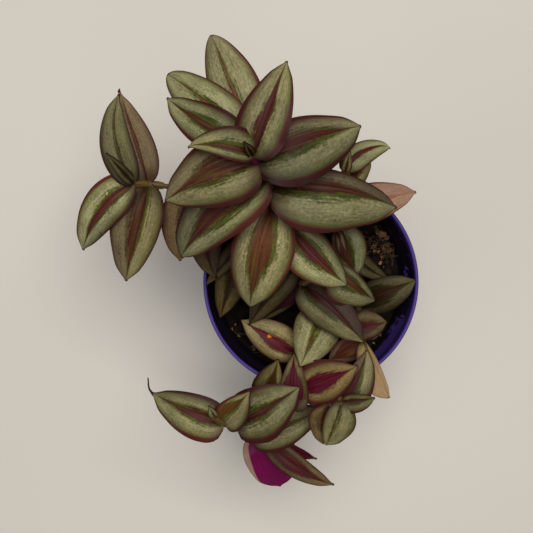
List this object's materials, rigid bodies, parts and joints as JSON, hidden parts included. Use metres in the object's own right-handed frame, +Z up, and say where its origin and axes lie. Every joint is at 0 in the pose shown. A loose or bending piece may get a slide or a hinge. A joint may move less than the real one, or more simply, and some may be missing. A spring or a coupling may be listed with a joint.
{
  "type": "potted tradescantia",
  "caption": "Tradescantia with silver-striped green and purple leaves on upright and trailing stems, growing from soil in a small round purple nursery pot that stands free.",
  "frame": {"origin": "middle of the pot's flat underside", "axes": "+Z up along the pot's axis; +X to the right and +Y to the top of the picture, which looks down into the pot"},
  "size_m": [0.1392, 0.1924, 0.1382],
  "materials": {
    "pot_plastic": "satin",
    "soil": "rough",
    "leaf": "satin"
  },
  "bodies": {
    "root": {"pot": "pot_plastic", "soil": "soil", "shoot_crown": "leaf", "shoot_back": "leaf", "shoot_right": "leaf", "shoot_middle": "leaf", "shoot_low": "leaf", "shoot_left": "leaf", "shoot_trail_right": "leaf", "shoot_trail_left": "leaf"}
  },
  "joints": []
}
